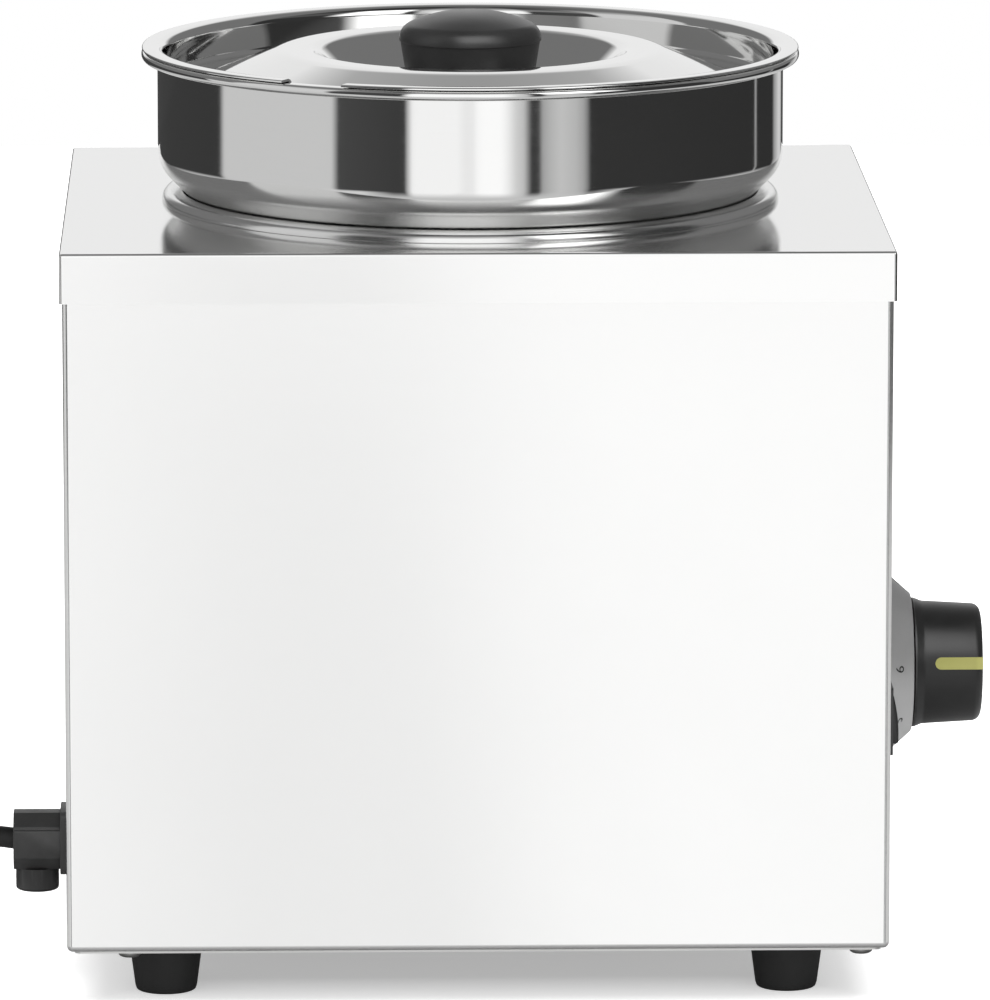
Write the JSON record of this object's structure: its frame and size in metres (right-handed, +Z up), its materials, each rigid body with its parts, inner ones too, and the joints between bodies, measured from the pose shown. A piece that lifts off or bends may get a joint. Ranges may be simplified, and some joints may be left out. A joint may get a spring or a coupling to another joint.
{
  "type": "soup kettle",
  "caption": "Square stainless wet-heat soup kettle with a lift-out pot, a drop-in lid with a knob, a dial thermostat, a rocker switch and a mains lead.",
  "frame": {"origin": "bottom centre of the kettle's box, on the floor under the middle of body, gland and knob", "axes": "+Z up, +X towards the control panel, -Y the plain side seen in the picture"},
  "size_m": [0.4557, 0.269, 0.3068],
  "materials": {
    "satin_steel": "satin-polished stainless sheet",
    "polished_steel": "bright-polished stainless",
    "black_rubber": "matt black rubber",
    "black_moulding": "fine-textured black moulding",
    "gland_moulding": "black nylon",
    "grey_moulding": "grey moulding",
    "pointer_colour": "yellow-green inlay",
    "switch_case": "black moulding",
    "switch_rocker": "glossy black moulding",
    "plated_steel": "zinc-plated steel",
    "brass": "bright brass",
    "copper_tube": "drawn copper",
    "heater_sheath": "heat-darkened steel",
    "silicone": "red silicone",
    "phenolic": "brown phenolic moulding",
    "cord_sheath": "black rubber sheath",
    "plug_moulding": "black moulding",
    "tie_band": "black nylon band"
  },
  "bodies": {
    "base": {"casing": "satin_steel", "top_cover": "satin_steel", "base_plate": "satin_steel", "well": "polished_steel", "foot_front_left": "black_rubber", "foot_front_right": "black_rubber", "foot_back_left": "black_rubber", "foot_back_right": "black_rubber", "gland_body": "gland_moulding", "gland_clamp": "gland_moulding", "clamp_screw": "gland_moulding", "gland_nut": "gland_moulding", "dial_bezel": "grey_moulding", "switch_frame": "switch_case", "base_screws": "plated_steel", "foot_screws": "plated_steel", "foot_nuts": "plated_steel", "heater_stud": "plated_steel", "heater_nut": "plated_steel", "thermostat_screws": "plated_steel", "bulb_clip": "plated_steel", "earth_nut": "plated_steel", "terminal_screws": "plated_steel", "thermostat_tabs": "brass", "switch_tabs": "brass", "earth_stud": "brass", "plug_pins": "brass", "capillary_tube": "copper_tube", "sensor_bulb": "copper_tube", "heating_element": "heater_sheath", "heater_plate": "heater_sheath", "well_seal": "silicone", "thermostat_body": "phenolic", "terminal_block": "phenolic", "thermal_cutout": "phenolic", "power_cord": "cord_sheath", "cord_coil": "cord_sheath", "cord_tail": "cord_sheath", "cord_inlet": "cord_sheath", "plug_body": "plug_moulding", "coil_tie": "tie_band"},
    "pot": {"pot": "polished_steel"},
    "lid": {"lid": "polished_steel", "lid_knob": "black_moulding", "lid_washer": "plated_steel", "lid_screw": "plated_steel"},
    "knob": {"control_knob": "black_moulding", "knob_pointer": "pointer_colour", "thermostat_shaft": "plated_steel"},
    "rocker": {"rocker_button": "switch_rocker"}
  },
  "joints": [
    {"name": "pot_lift", "type": "slide", "parent": "base", "child": "pot", "axis": [0, 0, 1], "range_m": [0, 0.24]},
    {"name": "lid_lift", "type": "slide", "parent": "pot", "child": "lid", "axis": [0, 0, 1], "range_m": [0, 0.12]},
    {"name": "knob_turn", "type": "hinge", "parent": "base", "child": "knob", "pos_m": [0.12215, 0, 0.089], "axis": [-1, 0, 0], "range_deg": [-279.5, 25.5]},
    {"name": "rocker_tip", "type": "hinge", "parent": "base", "child": "rocker", "pos_m": [0.12065, -0.092, 0.089], "axis": [0, 1, 0], "range_deg": [0, 12]}
  ]
}
